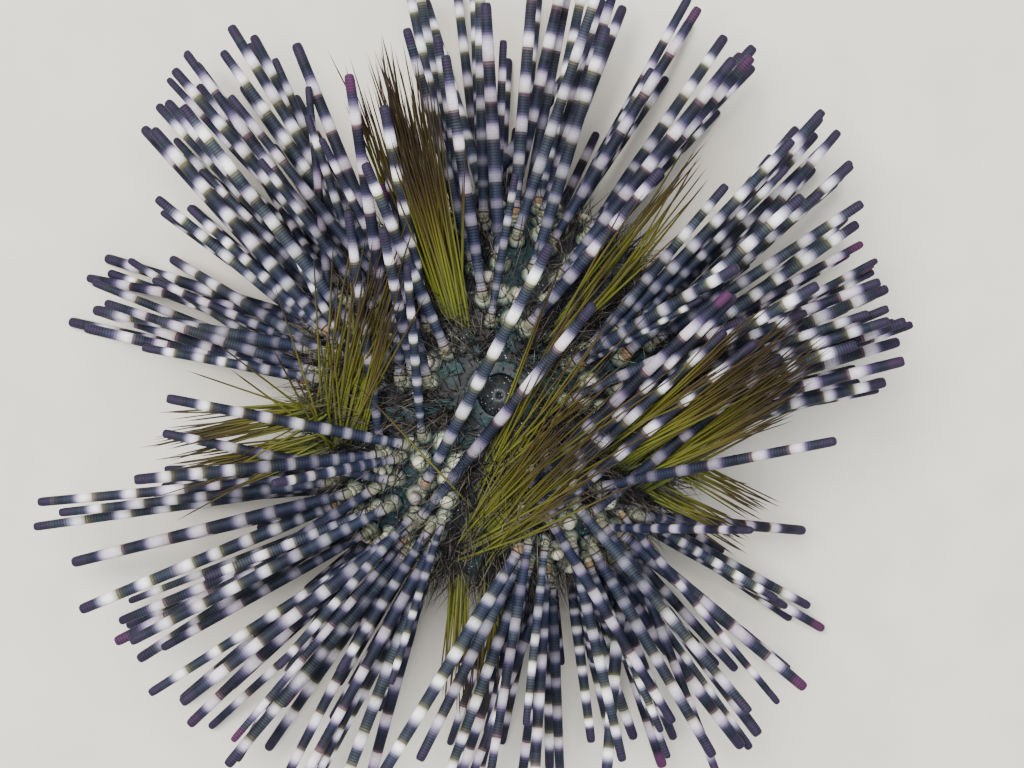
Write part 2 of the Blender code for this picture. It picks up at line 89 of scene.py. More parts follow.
class Shade:
    """A socket in the shader of one finish. Sums and products of it add Math nodes."""

    def __init__(self, tree, socket=None):
        self.tree = tree
        self.socket = socket

    def node(self, kind, settings=None, sockets=None, take=0):
        """Adds a node with its settings, then the values or links of its sockets. Gives one output."""
        made = self.tree.nodes.new("ShaderNode" + kind)
        for name, value in (settings or {}).items():
            if name == "stops":
                ramp = made.color_ramp
                while len(ramp.elements) < len(value):
                    ramp.elements.new(0.5)
                for stop, (position, *color) in zip(ramp.elements, value):
                    stop.position = position
                    stop.color = (*color, 1)
            else:
                setattr(made, name, value)
        for name, value in (sockets or {}).items():
            if isinstance(value, Shade):
                self.tree.links.new(value.socket, made.inputs[name])
            else:
                made.inputs[name].default_value = value
        return Shade(self.tree, made.outputs[take])

    def math(self, operation, *values):
        return self.node("Math", {"operation": operation}, dict(enumerate(values)))

    def __add__(self, other):
        return self.math("ADD", self, other)

    __radd__ = __add__

    def __sub__(self, other):
        return self.math("SUBTRACT", self, other)

    def __rsub__(self, other):
        return self.math("SUBTRACT", other, self)

    def __mul__(self, other):
        return self.math("MULTIPLY", self, other)

    __rmul__ = __mul__

    def __truediv__(self, other):
        return self.math("DIVIDE", self, other)

    def between(self, low, high):
        """0 below low, 1 above high and a soft step between. It falls where low is the greater."""
        sockets = {"Value": self, "From Min": low, "From Max": high}
        return self.node("MapRange", {"interpolation_type": "SMOOTHSTEP"}, sockets)

    def ramp(self, *stops):
        """The colour at this value. Each stop is a position, red, green and blue."""
        return self.node("ValToRGB", {"stops": stops}, {0: self})

    def mix(self, first, second):
        """The first colour where this is 0 and the second where it is 1."""
        colors = {6: opaque(first), 7: opaque(second)}
        return self.node("Mix", {"data_type": "RGBA"}, {0: self, **colors}, 2)

    def blend(self, operation, color):
        """This colour and another, put together by MULTIPLY or ADD."""
        settings = {"data_type": "RGBA", "blend_type": operation}
        return self.node("Mix", settings, {0: 1.0, 6: self, 7: opaque(color)}, 2)

    def attribute(self, name):
        return self.node("Attribute", {"attribute_name": name}, take=2)

    def place(self):
        return self.node("TexCoord", take=3)

    def cloud(self, scale, detail=3.0, roughness=0.55):
        """Soft noise about 0.5 on Object coordinates."""
        sockets = {"Vector": self.place(), "Scale": scale, "Detail": detail, "Roughness": roughness}
        return self.node("TexNoise", None, sockets)

    def pebbles(self, scale):
        """Distance to the nearest of many scattered points, on Object coordinates."""
        return self.node("TexVoronoi", None, {"Vector": self.place(), "Scale": scale})

    def shaft(self, take=0):
        """On a spine, how far from its foot a place is, or with take 1 the share of a turn round it."""
        shaft_map = self.node("UVMap", {"uv_map": "Shaft"})
        return self.node("SeparateXYZ", None, {0: shaft_map}, take)

    def vector(self, *values):
        return self.node("CombineXYZ", None, dict(enumerate(values)))

    def bump(self, height, depth):
        return self.node("Bump", None, {"Strength": 1.0, "Distance": depth, "Height": height})


def new_finish(name, gloss=0.5, roughness=0.5):
    """A material and the start of its shader."""
    made = bpy.data.materials.new(name)
    made.use_nodes = True
    shader = made.node_tree.nodes["Principled BSDF"]
    shader.inputs["Specular IOR Level"].default_value = gloss
    shader.inputs["Roughness"].default_value = roughness
    return made, Shade(made.node_tree)


def finish_with(made, **links):
    """Links colours and values to the shader of a finish."""
    shader = made.node_tree.nodes["Principled BSDF"]
    for socket, value in links.items():
        made.node_tree.links.new(value.socket, shader.inputs[socket.replace("_", " ").title()])


def half_height(tilt):
    return TEST_RISE if tilt < math.pi / 2 else TEST_DROP


def angle_between(azimuth, other):
    return abs((azimuth - other + 180) % 360 - 180)


def pick(piece, wanted):
    """Goes into edit mode with just the faces selected whose middle is wanted."""
    bpy.ops.object.mode_set(mode="OBJECT")
    bpy.context.tool_settings.mesh_select_mode = (False, False, True)
    mesh = piece.data
    mesh.vertices.foreach_set("select", [False] * len(mesh.vertices))
    mesh.edges.foreach_set("select", [False] * len(mesh.edges))
    mesh.polygons.foreach_set("select", [bool(wanted(face.center)) for face in mesh.polygons])
    bpy.ops.object.mode_set(mode="EDIT")


def draw_out(step):
    """Extrudes the selected faces and moves them up by a step, or down."""
    bpy.ops.mesh.extrude_region_move(TRANSFORM_OT_translate={"value": (0, 0, step)})


def resize(across, up=1):
    bpy.ops.transform.resize(value=(across, across, up), center_override=(0, 0, 0))


def inset(thickness, depth):
    bpy.ops.mesh.inset(thickness=thickness, depth=depth)


def made_piece(name):
    """Leaves edit mode and gives the active object its name."""
    bpy.ops.object.mode_set(mode="OBJECT")
    piece = bpy.context.object
    piece.name = piece.data.name = name
    return piece


def subdivide(piece, levels):
    """Rounds the active piece."""
    bpy.ops.object.modifier_add(type="SUBSURF")
    rounding = piece.modifiers[0]
    rounding.levels = rounding.render_levels = levels
    bpy.ops.object.modifier_apply(modifier=rounding.name)


def settle_at_axis(piece):
    """Moves a mesh made about the origin to the axis of the animal, and shades it smooth."""
    piece.data.transform(piece.matrix_world)
    piece.matrix_world.identity()
    for point in piece.data.vertices:
        point.co += Vector(axis)
    piece.data.shade_smooth()


def note_values(mesh, name, values):
    """Stores one value for each point of a mesh, which its finish reads."""
    mesh.attributes.new(name, "FLOAT", "POINT").data.foreach_set("value", values)


def from_axis(point):
    return math.hypot(point.x, point.y)


def linked(name, data):
    """A new object in the scene."""
    made = bpy.data.objects.new(name, data)
    bpy.context.scene.collection.objects.link(made)
    return made


def add_up(piece, slot, finish, *nodes):
    """Hands a finished piece to the frame, in place of the nodes named."""
    piece.data.materials.clear()
    piece.data.materials.append(finish)
    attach(piece, "root")
    if nodes:
        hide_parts(*nodes)


bpy.ops.mesh.primitive_uv_sphere_add(segments=TEST_SIDES, ring_count=TEST_RINGS, radius=TEST_RADIUS,
                                     location=(0, 0, 0))
test_skin = made_piece("test_skin")
for side, height in ((1, TEST_RISE), (-1, TEST_DROP)):
    pick(test_skin, lambda point: point.z * side > 0)
    resize(1, height / TEST_RADIUS)
for side, radius, step in ((1, CAP_RADIUS, -CAP_SEAT), (-1, MOUTH_RADIUS, MOUTH_SEAT)):
    pick(test_skin, lambda point: point.z * side > 0 and from_axis(point) < radius - GAP)
    draw_out(step)
made_piece("test_skin")
subdivide(test_skin, 1)

# Relief: the narrow zones swell, a furrow runs along their edges, and the bare middles sink.
bare_share = []
for point in test_skin.data.vertices:
    out = from_axis(point.co)
    turn = math.degrees(math.atan2(point.co.y, point.co.x))
    from_narrow = min(angle_between(turn, azimuth) for azimuth in NARROW_AT)
    from_wide = min(angle_between(turn, azimuth) for azimuth in WIDE_AT)
    swell = SWELL_HEIGHT * math.exp(-(from_narrow / 6) ** 2)
    furrow = FURROW_DEPTH * math.exp(-((from_narrow - NARROW_HALF) / 1.4) ** 2)
    weave = 2.2 * math.sin(point.co.z * 2400)
    sunk = 0
    if out > BARE_FROM:
        sunk = max(math.exp(-((from_wide + weave) * out / WIDE_BARE) ** 2),
                   0.8 * math.exp(-(from_narrow * out / NARROW_BARE) ** 2))
    grain = COARSE_GRAIN * noise.noise(point.co * 420) + FINE_GRAIN * noise.noise(point.co * 1300)
    half = TEST_RISE if point.co.z > 0 else TEST_DROP
    steep = Vector((point.co.x / TEST_RADIUS ** 2, point.co.y / TEST_RADIUS ** 2, point.co.z / half ** 2))
    if out > RELIEF_FROM:
        point.co += steep.normalized() * (swell - furrow - BARE_DEPTH * sunk + grain)
    point.co.z += WAIST_HEIGHT
    bare_share.append(sunk if out > CAP_RADIUS else 0.5)
note_values(test_skin.data, "bare", bare_share)
settle_at_axis(test_skin)

skin_finish, shade = new_finish("dark skin", gloss=0.22)
patch = (shade.attribute("bare") * 1.3 - shade.cloud(260) * 0.9).between(0.0, 0.5)
mottle = shade.cloud(700, 5.0)
speckle = shade.pebbles(1500).between(0.22, 0.12) * shade.cloud(300).between(0.5, 0.62)
dark = mottle.ramp((0.3, 0.002, 0.002, 0.003), (0.5, 0.003, 0.004, 0.006), (0.68, 0.011, 0.01, 0.012))
teal = mottle.ramp((0.3, 0.002, 0.008, 0.011), (0.55, 0.005, 0.021, 0.026), (0.7, 0.016, 0.048, 0.05))
color = speckle.mix(patch.mix(dark, teal), (0.36, 0.38, 0.34))
relief = shade.cloud(1400, 4.0) + shade.pebbles(1100) * 0.6
finish_with(skin_finish, base_color=color, roughness=mottle.between(0.2, 0.8) * 0.3 + 0.38,
            normal=shade.bump(relief, 0.0002))
add_up(test_skin, "skin", skin_finish, *[f"{zone}_{number}" for zone in ("interambulacrum", "ambulacrum")
                                         for number in range(1, 6)])

# The places of the banded spines and needles, which stand on ball joints and lie where the tide left them:
# fans on the wide zones, a few spines fallen across them, and tufts of needles on the narrow zones. Each has
# settled beside its neighbours, as straight as it grew.
FANS = {
    82: (48, 61, 79, 92, 100),
    154: (119, 130, 138, 143, 168),
    226: (181, 196, 212, 227, 251),
    298: (251, 270, 293, 316, 332),
    10: (13, 19, 28, 42, 49),
}
WIDE_HALF = 26
ROWS = 11
FIRST_ROW = 0.0125
ROW_STEP = 0.0053
COLUMN_STEP = 0.0046
EDGE_MARGIN = 0.0024
TOP_RISE = 14
LOWEST_RISE = -26
SPINE_THICKNESS = (0.0022, 0.0027)
SPINE_LONGEST = 0.057
LENGTH_BY_ROW = (0.038, 0.043, 0.048, 0.053, 0.057, 0.057, 0.057, 0.057, 0.044, 0.033, 0.021)
UNDER_ROW = 8
UNDER_THINNESS = 0.84
YOUNG_SHARE = 0.12
YOUNG_LENGTH = 0.7
YOUNG_THINNESS = 0.75
ROOT_SPREAD = 0.97
ROW_WEAVE = 0.382
BARE_UNTIL = 0.027
BARE_HALF = 0.0022

# How far the tips reach from the axis of the test: azimuth and distance.
REACH = (
    (-9, 0.053), (-3, 0.06), (2, 0.068), (8, 0.074), (25, 0.07), (34, 0.076), (46, 0.078), (60, 0.08),
    (72, 0.076), (82, 0.079), (110, 0.08), (127, 0.082), (138, 0.086), (147, 0.082), (166, 0.077),
    (170, 0.083), (176, 0.066), (187, 0.074), (192, 0.088), (202, 0.089), (213, 0.084), (235, 0.084),
    (250, 0.079), (262, 0.076), (282, 0.071), (293, 0.07), (302, 0.077), (312, 0.08), (322, 0.075),
    (332, 0.07), (342, 0.06), (351, 0.053),
)

# Fallen across the fans: azimuth, distance down the test, heading, rise, length, thickness.
CROSSING = (
    (237, 0.0262, 51, 24, 0.052, 0.0025),
    (230, 0.02, 62, 24, 0.05, 0.0025),
    (203, 0.0225, 97, 16, 0.042, 0.0021),
    (208, 0.015, 94, 24, 0.032, 0.0019),
    (277, 0.0225, 43, 12, 0.05, 0.0021),
    (284, 0.0165, 44, 15, 0.05, 0.0024),
    (290, 0.0225, 40, 10, 0.048, 0.0024),
    (300, 0.0175, 46, 13, 0.046, 0.0022),
    (306, 0.0265, 40, 8, 0.044, 0.0023),
    (278, 0.029, 243, 12, 0.04, 0.0024),
    (101, 0.0262, 99, 16, 0.038, 0.0022),
)

# Tufts of needles: azimuth, from and to down the test, heading, rise, length, count.
TUFTS = (
    (118, 0.012, 0.036, 101, 32, 0.037, 40),
    (190, 0.022, 0.038, 62, 30, 0.034, 28),
    (190, 0.032, 0.046, 194, 2, 0.03, 18),
    (262, 0.01, 0.034, 50, 24, 0.036, 42),
    (262, 0.036, 0.044, 267, -4, 0.022, 10),
    (334, 0.018, 0.038, 38, 26, 0.035, 36),
    (334, 0.034, 0.046, 330, -4, 0.019, 10),
    (46, 0.01, 0.036, 54, 28, 0.03, 24),
) + tuple((azimuth, 0.047, 0.066, azimuth, -16, 0.014, 6) for azimuth in NARROW_AT)
NEEDLE_THICKNESS = 0.0006
TUFT_THICKNESS = 0.0036
TUFT_CORE = 10
NECK_HEIGHT = 0.0015
SPINE_LIFT = 0.17
NEEDLE_LIFT = 0.1
CEILING = 0.056
FOOT_SHARE = 0.35
CAP_DEPTH = 0.005
CONE_RADIUS = 0.0034
CONE_HEIGHT = 0.0032
SNUG = 0.0001
CLEAR = 0.00055

# How the spines settle: which pairs are looked at and how often, how far from a root they push, and how long
# and how hard they spring back.
NEAR = 0.008
LOOK_AGAIN = 12
ROOT_SHARE = 0.04
LEAST_ARM = 0.08
CALM = 0.6
SPRING_BACK = 0.03
SPRING_UNTIL = 0.7
SHORTEST = 0.004


@dataclass
class Spine:
    """A straight spine: its sector, where it stands on the test, and how it points."""
    sector: int
    place: np.ndarray
    normal: np.ndarray
    way: np.ndarray
    length: float
    radius: float

    @property
    def joint(self):
        return self.place + self.normal * NECK_HEIGHT


def unit(vectors):
    return vectors / np.maximum(np.linalg.norm(vectors, axis=-1, keepdims=True), 1e-9)


def meridian(steps=720):
    """Distances down the test from its top, and the tilt from straight up at each."""
    tilts = [math.pi * step / steps for step in range(steps + 1)]
    distances = [0.0]
    for tilt, following in zip(tilts, tilts[1:]):
        halfway = (tilt + following) / 2
        slope = math.hypot(TEST_RADIUS * math.cos(halfway), half_height(halfway) * math.sin(halfway))
        distances.append(distances[-1] + slope * (following - tilt))
    return distances, tilts


DISTANCES, TILTS = meridian()


def tilt_at(down):
    return float(np.interp(down, DISTANCES, TILTS))


def ring_at(down):
    """The radius of the test at a distance down it from its top."""
    return TEST_RADIUS * math.sin(tilt_at(down))


def on_test(down, azimuth):
    """The point and outward normal at a distance down the test from its top."""
    tilt, turn = tilt_at(down), math.radians(azimuth)
    height = half_height(tilt)
    out = np.array([math.cos(turn), math.sin(turn), 0.0])
    up = np.array([0.0, 0.0, 1.0])
    place = out * TEST_RADIUS * math.sin(tilt) + up * (WAIST_HEIGHT + height * math.cos(tilt))
    return place, unit(out * math.sin(tilt) / TEST_RADIUS + up * math.cos(tilt) / height)


def pointing(heading, rise):
    turn, lift = math.radians(heading), math.radians(rise)
    return np.array([math.cos(turn) * math.cos(lift), math.sin(turn) * math.cos(lift), math.sin(lift)])


def level_length(place, heading):
    """Level distance from a root to where its tip meets the outline of the animal."""
    azimuths, reaches = zip(*REACH)
    first = azimuths[0]
    aim = pointing(heading, 0)[:2]
    along = place[:2] @ aim
    distance = SPINE_LONGEST
    for _ in range(6):
        tip = place[:2] + aim * distance
        azimuth = math.degrees(math.atan2(tip[1], tip[0]))
        reach = float(np.interp((azimuth - first) % 360 + first, azimuths, reaches))
        distance = -along + math.sqrt(max(along ** 2 - place[:2] @ place[:2] + reach ** 2, 0))
    return distance


def row_at(row):
    """How far down the test a row of banded spines lies, and the radius and the width of its sector there."""
    down = FIRST_ROW + row * ROW_STEP
    ring = ring_at(down)
    return down, ring, ring * math.radians(2 * WIDE_HALF) - 2 * EDGE_MARGIN


def on_bare(down, from_middle):
    return down < BARE_UNTIL and from_middle < BARE_HALF


def aim_in(headings, across, row):
    """The heading and the rise at a place in a fan."""
    heading = np.interp(across, (-1, -0.5, 0, 0.5, 1), headings)
    return heading, TOP_RISE + (LOWEST_RISE - TOP_RISE) * row / (ROWS - 1)


def fan_spines(draw):
    """The banded spines in rows down each wide sector, long at the waist and short under it."""
    made = []
    for (sector, headings), row in product(FANS.items(), range(ROWS)):
        down, ring, width = row_at(row)
        count = max(2, int(width / COLUMN_STEP) + 1)
        for column in range(count):
            across = -1 + 2 * column / (count - 1)
            if on_bare(down, abs(across) * width / 2):
                continue
            loose = draw.uniform(-0.2, 0.2) * COLUMN_STEP * (1 - abs(across))
            sideways = across * width / 2 * ROOT_SPREAD + loose
            here = down + draw.uniform(-0.2, 0.2) * ROW_STEP
            place, normal = on_test(here, sector + math.degrees(sideways / ring))
            # Rows take turns to fill the spaces between the headings of their neighbours.
            woven = across + ((row * ROW_WEAVE) % 1 - 0.5) * 2 / (count - 1)
            heading, rise = aim_in(headings, woven, row)
            heading += draw.gauss(0, 1.5)
            rise += draw.gauss(0, 2.5)
            thickness = draw.uniform(*SPINE_THICKNESS)
            length = LENGTH_BY_ROW[row] * draw.uniform(0.86, 1.0)
            if row < UNDER_ROW:
                level = level_length(place, heading) * draw.uniform(0.9, 1.0)
                length = min(length, level / math.cos(math.radians(rise)))
            else:
                thickness *= UNDER_THINNESS
            if draw.random() < YOUNG_SHARE:
                length, thickness = length * YOUNG_LENGTH, thickness * YOUNG_THINNESS
            aim = pointing(heading, rise)
            made.append(Spine(sector, place, normal, aim, length, thickness / 2))
    return made


def crossing_spines():
    made = []
    for azimuth, down, heading, rise, length, thickness in CROSSING:
        sector = min(FANS, key=lambda wide: angle_between(azimuth, wide))
        made.append(Spine(sector, *on_test(down, azimuth), pointing(heading, rise), length, thickness / 2))
    return made


def needles(draw, tufts, scatter=5.0):
    """The fine needles, rooted on both sides of each narrow sector and leaning together in tufts."""
    made = []
    for azimuth, start, end, heading, rise, length, count in tufts:
        for number in range(count):
            down = start + (end - start) * (number + 0.5) / count
            ring = ring_at(down)
            half = ring * math.radians(NARROW_HALF) - NEEDLE_THICKNESS - GAP
            side = 1 if number % 2 else -1
            place, normal = on_test(down, azimuth + math.degrees(side * half * draw.uniform(0.2, 1) / ring))
            aim = pointing(heading + draw.gauss(0, scatter), rise + draw.gauss(0, scatter))
            long = length * draw.uniform(0.75, 1.1)
            made.append(Spine(azimuth, place, normal, aim, long, NEEDLE_THICKNESS / 2))
    return made


def reserved():
    """Stout stand-ins for the cone and the tufts, which the banded spines leave room for."""
    up = np.array([0.0, 0.0, 1.0])
    foot = np.array([0.0, 0.0, WAIST_HEIGHT + TEST_RISE - CAP_DEPTH])
    made = [Spine(0, foot, up, up, CAP_DEPTH + CONE_HEIGHT, CONE_RADIUS)]
    for azimuth, start, end, heading, rise, length, count in TUFTS:
        cores = count // TUFT_CORE
        for number in range(cores):
            down = start + (end - start) * (number + 0.5) / cores
            aim = pointing(heading, rise)
            made.append(Spine(azimuth, *on_test(down, azimuth), aim, length * 0.8, TUFT_THICKNESS / 2))
    return made


def passing(joint, arm, first, second):
    """Where pairs of spines pass nearest: the share along each, the step between them and its length."""
    a, b, between = arm[first], arm[second], joint[first] - joint[second]
    aa, bb, ab = (a * a).sum(-1), (b * b).sum(-1), (a * b).sum(-1)
    start_a, start_b = (a * between).sum(-1), (b * between).sum(-1)
    s = np.clip((ab * start_b - start_a * bb) / np.maximum(aa * bb - ab * ab, 1e-18), 0, 1)
    t = np.clip((ab * s + start_b) / bb, 0, 1)
    s = np.clip((ab * t - start_a) / aa, 0, 1)
    apart = between + s[:, None] * a - t[:, None] * b
    return s, t, apart, np.linalg.norm(apart, axis=1)


def columns(spines):
    """The spines as arrays: joints, normals, ways, lengths, radii and sectors."""
    names = ("joint", "normal", "way", "length", "radius", "sector")
    return [np.array([getattr(spine, name) for spine in spines]) for name in names]


def settle(spines, rounds, fixed, lift, clear=CLEAR):
    """Turns the spines about their joints until they lie beside each other. The first ones stay fixed."""
    joint, normal, aim, length, radius, sector = columns(spines)
    way = aim.copy()
    moving = (np.arange(len(spines)) >= fixed).astype(float)
    every, other = np.triu_indices(len(spines), 1)
    free = moving[every] + moving[other] > 0
    every, other = every[free], other[free]
    for count in range(rounds):
        arm = way * length[:, None]
        if count % LOOK_AGAIN == 0:
            close = passing(joint, arm, every, other)[3] < NEAR
            first, second = every[close], other[close]
            room = np.where(sector[first] == sector[second], SNUG, clear)
            need = radius[first] + radius[second] + room
        s, t, apart, distance = passing(joint, arm, first, second)
        hit = (distance < need) & ((s > ROOT_SHARE) | (t > ROOT_SHARE))
        i, j = first[hit], second[hit]
        out_i = np.maximum(s[hit], LEAST_ARM) * length[i]
        out_j = np.maximum(t[hit], LEAST_ARM) * length[j]
        line = unit(apart[hit])
        # Two that lie in one line part along what is square to both.
        blind = distance[hit] < 1e-5
        line[blind] = unit(np.cross(arm[i], arm[j]))[blind]
        # The slimmer one, or the one met nearer its tip, gives way more.
        ease_i, ease_j = moving[i] / (out_i * radius[i]), moving[j] / (out_j * radius[j])
        depth = (need[hit] - distance[hit]) / (ease_i + ease_j)
        push, times = np.zeros_like(way), np.zeros(len(spines))
        np.add.at(push, i, line * (depth * ease_i / out_i)[:, None])
        np.add.at(push, j, -line * (depth * ease_j / out_j)[:, None])
        np.add.at(times, i, 1)
        np.add.at(times, j, 1)
        way += push / np.maximum(times * CALM, 1)[:, None]
        recall = SPRING_BACK * max(0.0, 1 - count / (rounds * SPRING_UNTIL))
        way = unit(way + (aim - way) * (recall * moving)[:, None])
        # None leans into the test, through the floor or above the ceiling.
        way += normal * (np.maximum(lift - (way * normal).sum(-1), 0) * moving)[:, None]
        tip = joint[:, 2] + way[:, 2] * length
        way[:, 2] += np.maximum(radius * FOOT_SHARE - tip, 0) * moving / length
        way[:, 2] -= np.maximum(tip - CEILING, 0) * moving / length
        way = np.round(unit(way), 7)
    for spine, turned_way in zip(spines, way):
        spine.way = turned_way
    return spines


def pruned(spines, fixed, slack, clear=CLEAR):
    """Leaves out the spines that found no room, the most crowded first."""
    joint, normal, way, length, radius, sector = columns(spines)
    i, j = np.triu_indices(len(spines), 1)
    s, t, apart, distance = passing(joint, way * length[:, None], i, j)
    room = np.where(sector[i] == sector[j], 0, clear - SNUG)
    depth = radius[i] + radius[j] + room - distance
    hit = (depth > slack) & ((s > ROOT_SHARE) | (t > ROOT_SHARE)) & (j >= fixed)
    i, j, depth = i[hit], j[hit], depth[hit]
    gone = set()
    while len(i):
        load = np.zeros(len(spines))
        np.add.at(load, i, depth)
        np.add.at(load, j, depth)
        load[:fixed] = 0
        worst = int(np.argmax(load))
        gone.add(worst)
        rest = (i != worst) & (j != worst)
        i, j, depth = i[rest], j[rest], depth[rest]
    return [spine for number, spine in enumerate(spines) if number not in gone]


def trimmed(spines):
    """Ends the spines that still pass too near one of another sector just short of it."""
    joint, normal, way, length, radius, sector = columns(spines)
    i, j = np.triu_indices(len(spines), 1)
    i, j = i[sector[i] != sector[j]], j[sector[i] != sector[j]]
    s, t, apart, distance = passing(joint, way * length[:, None], i, j)
    for pair in np.flatnonzero(distance < radius[i] + radius[j] + CLEAR - 2 * SNUG):
        a, b = i[pair], j[pair]
        shorter = (1 - s[pair]) * radius[a] < (1 - t[pair]) * radius[b]
        spine, share = (spines[a], s[pair]) if shorter else (spines[b], t[pair])
        room = 2 * (radius[a] + radius[b])
        spine.length = min(spine.length, share * spine.length - room)
    return [spine for spine in spines if spine.length > SHORTEST]


def grow_in(spines, fixed, lift, steps, clear=CLEAR):
    """Settles the spines and leaves out the crowded ones, by turns."""
    for rounds, slack in steps:
        spines = pruned(settle(spines, rounds, fixed, lift, clear), fixed, slack, clear)
    return spines


draw = random.Random(11)
room, crossing = reserved(), crossing_spines()
fixed = len(room) + len(crossing)
banded = grow_in(room + crossing + fan_spines(draw), fixed, SPINE_LIFT, ((260, 0.0004), (160, 0.0002)))
banded = banded[len(room):]
grown = grow_in(banded + needles(draw, TUFTS), len(banded), NEEDLE_LIFT, ((200, 0.0003), (120, 0.0001)))
for _ in range(4):
    grown = trimmed(grown)

# The share of the slimmer spines that each fan has lost, and their radii.
THINNED = {82: 0.95, 154: 0.3, 226: 0.5, 298: 0.4, 10: 0.5}
SLIM_RADIUS = (0.00085, 0.00115)


def between_spines(draw):
    """Slimmer banded spines rooted between the rows of the stout ones."""
    made = []
    for (sector, headings), row in product(FANS.items(), range(ROWS - 1)):
        down, ring, width = row_at(row + 0.5)
        count = max(2, int(width / COLUMN_STEP) + 2)
        for column in range(count):
            across = -1 + 2 * (column + 0.5) / count
            if on_bare(down, abs(across) * width / 2) or draw.random() < THINNED[sector]:
                continue
            here = down + draw.uniform(-0.1, 0.1) * ROW_STEP
            place, normal = on_test(here, sector + math.degrees(across * width / 2 / ring))
            heading, rise = aim_in(headings, across, row)
            heading += draw.gauss(0, 3)
            rise += draw.gauss(0, 4)
            length = LENGTH_BY_ROW[row] * draw.uniform(0.55, 0.95)
            if row < UNDER_ROW:
                length = min(length, level_length(place, heading) / math.cos(math.radians(rise)))
            radius = draw.uniform(*SLIM_RADIUS)
            made.append(Spine(sector, place, normal, pointing(heading, rise), length, radius))
    return made


# The finer needles that fill the tufts, in columns like those of the tufts above.
FINE_TUFTS = (
    (118, 0.014, 0.032, 104, 34, 0.038, 160),
    (190, 0.025, 0.035, 66, 30, 0.036, 130),
    (190, 0.032, 0.042, 190, 4, 0.027, 70),
    (262, 0.023, 0.034, 54, 28, 0.035, 150),
    (262, 0.01, 0.02, 50, 20, 0.042, 16),
    (262, 0.036, 0.046, 267, -4, 0.024, 30),
    (334, 0.02, 0.034, 36, 26, 0.036, 160),
    (334, 0.034, 0.046, 332, -4, 0.019, 30),
)
FINE_SCATTER = 2.6
NEEDLE_RADIUS = (0.00021, 0.0003)
KEPT_LEAN = math.cos(math.radians(16))
slim_draw = random.Random(23)
slim = between_spines(slim_draw)
grown = grow_in(grown + slim, len(grown), SPINE_LIFT, ((160, 0.0004), (100, 0.0003)), SNUG)
first = len(grown)
fine = needles(slim_draw, FINE_TUFTS, FINE_SCATTER)
for spine in fine:
    spine.radius = NEEDLE_RADIUS[0]
aims = [spine.way for spine in fine]
settle(grown + fine, 120, first, NEEDLE_LIFT, SNUG)
fine = [spine for spine, aim in zip(fine, aims) if spine.way @ aim > KEPT_LEAN]
grown = pruned(grown + fine, first, 0.00025, SNUG)
banded = [spine for spine in grown if spine.sector in WIDE_AT]
all_needles = [spine for spine in grown if spine.sector in NARROW_AT]

# A knob under each banded spine, and bare ones where a spine has been lost: a low ring of calcite with a
# polished ball on it, over which the spine's cup turns. The ball and the muscle round it are pale, and the
# ring is dark with skin.
KNOB_OUTLINE = (
    (-0.0004, 0.00215), (0.00015, 0.002), (0.00058, 0.0014), (0.00068, 0.00108), (0.00078, 0.00078),
    (0.0011, 0.001), (0.00155, 0.001), (0.0019, 0.00062),
)
KNOB_TOP = 0.00206
KNOB_RADIUS = 0.00215
KNOB_LEAST = 0.8
STOUT_RADIUS = 0.00125
BARE_TRIES = 900
BARE_DOWN = (0.012, 0.044)
BARE_MARGIN = 0.0022
BARE_SPACING = 0.003
BARE_RADIUS = 0.0025
BARE_GROWTH = 1.1


def drawn_form(outline, sides, top):
    """A closed form of heights and radii about the Z axis, drawn up ring by ring, and pointed at its top."""
    (low, wide), (high, narrow) = outline[0], outline[1]
    bpy.ops.mesh.primitive_cylinder_add(vertices=sides, radius=wide, depth=high - low, end_fill_type="NGON",
                                        location=(0, 0, (low + high) / 2))
    bpy.ops.object.transform_apply(location=True)
    form = bpy.context.object
    pick(form, lambda point: point.z > high - 1e-7)
    resize(narrow / wide)
    for (height, radius), (following, next_radius) in zip(outline[1:], outline[2:]):
        draw_out(following - height)
        resize(next_radius / radius)
    if top is not None:
        draw_out(top - outline[-1][0])
        bpy.ops.mesh.merge(type="CENTER")
    bpy.ops.object.mode_set(mode="OBJECT")
    return form


